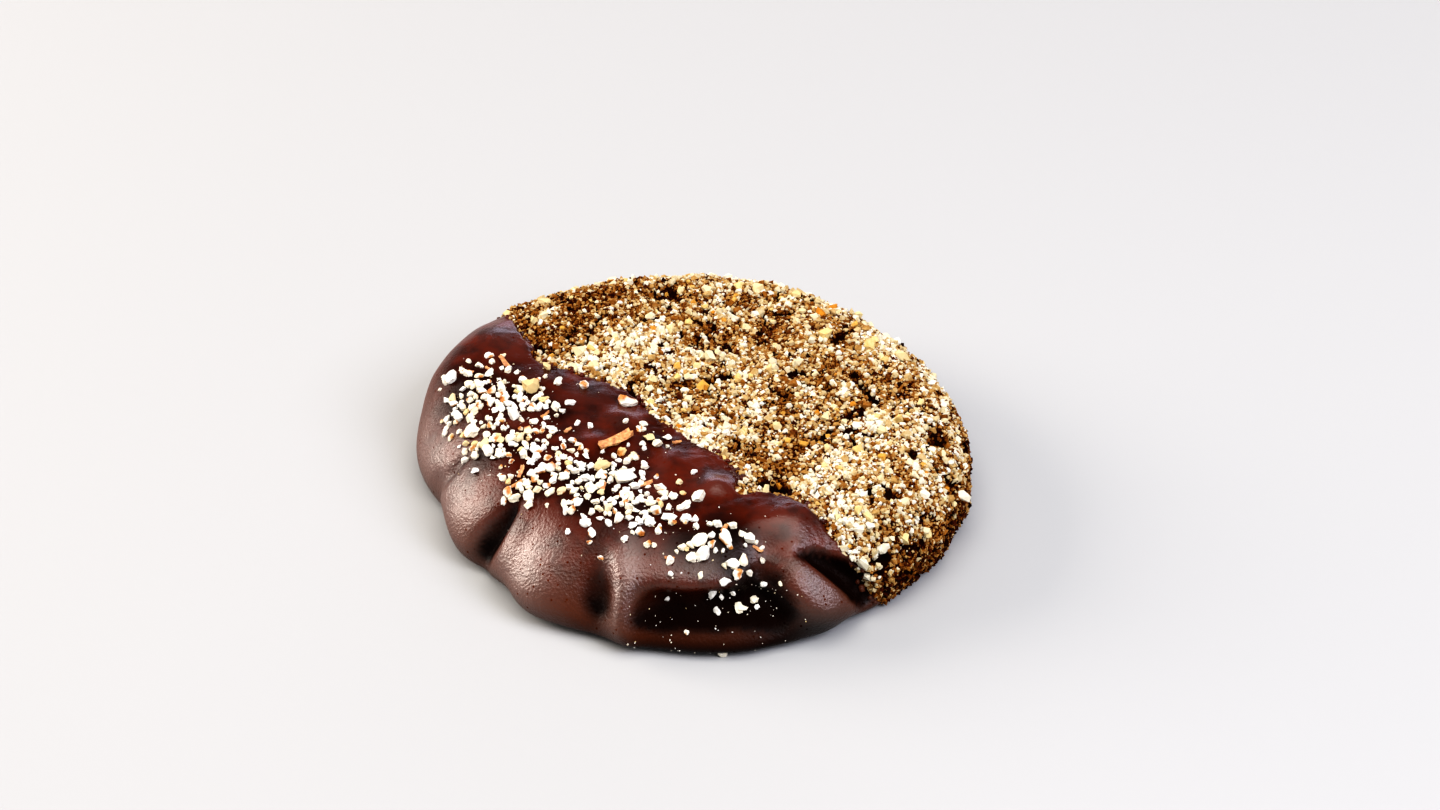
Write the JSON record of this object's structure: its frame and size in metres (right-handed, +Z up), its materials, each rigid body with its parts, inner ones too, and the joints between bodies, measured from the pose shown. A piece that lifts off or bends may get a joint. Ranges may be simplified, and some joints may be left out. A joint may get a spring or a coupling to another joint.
{
  "type": "chocolate-dipped nut cookie",
  "caption": "Round nut-meal cookie with a rough crumb, one side dipped in dark chocolate and strewn with chopped almonds.",
  "frame": {"origin": "centre of the bounding box at the flat underside", "axes": "+Z up from the underside to the top, +X along the longer plan side, -Y towards the front, so the dipped side lies at the front left"},
  "size_m": [0.0944, 0.0916, 0.0179],
  "materials": {
    "biscuit": "rough crumb of ground nuts, pale cream to golden brown with dark crevices",
    "chocolate": "satin dark chocolate",
    "almond": "chopped blanched almond with a few toasted skins"
  },
  "bodies": {
    "root": {"biscuit": "biscuit", "chocolate_coat": "chocolate"}
  },
  "joints": []
}
